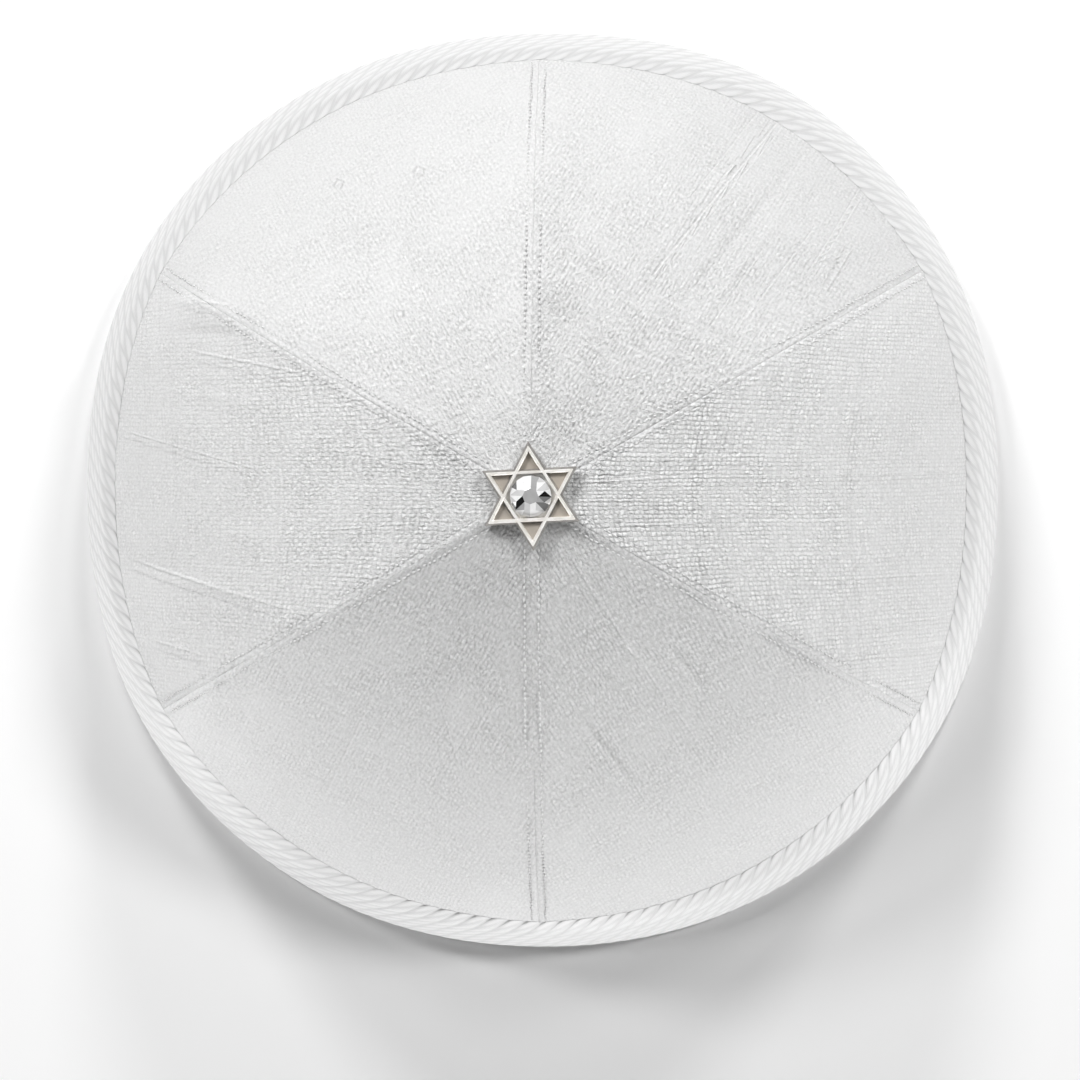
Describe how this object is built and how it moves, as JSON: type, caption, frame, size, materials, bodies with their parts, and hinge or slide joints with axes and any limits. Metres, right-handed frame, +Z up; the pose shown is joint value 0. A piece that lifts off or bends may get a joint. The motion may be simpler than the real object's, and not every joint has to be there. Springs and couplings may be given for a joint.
{
  "type": "kippah skullcap",
  "caption": "Shallow domed cloth skullcap of sewn gores with a braided rim and a silver six-pointed star with a cut crystal at its crown.",
  "frame": {"origin": "centre of the bounding box on the surface that the cap rests on, below the crown's centre", "axes": "+Z up through the crown and the star; +Y towards the seam that the picture shows at the top, near the star's first point"},
  "size_m": [0.1697, 0.1701, 0.0632],
  "materials": {
    "crown_cloth": "white slubbed linen-like weave with a soft sheen",
    "rim_braid": "white twisted braid, slightly glossy strands",
    "star_metal": "polished silver bars over a satin floor",
    "crystal": "clear cut crystal with a mirrored back",
    "post_steel": "plain steel"
  },
  "bodies": {
    "root": {"panel_1": "crown_cloth", "panel_2": "crown_cloth", "panel_3": "crown_cloth", "panel_4": "crown_cloth", "panel_5": "crown_cloth", "panel_6": "crown_cloth", "rim_braid": "rim_braid", "star": "star_metal", "crystal": "crystal", "star_post": "post_steel"}
  },
  "joints": []
}
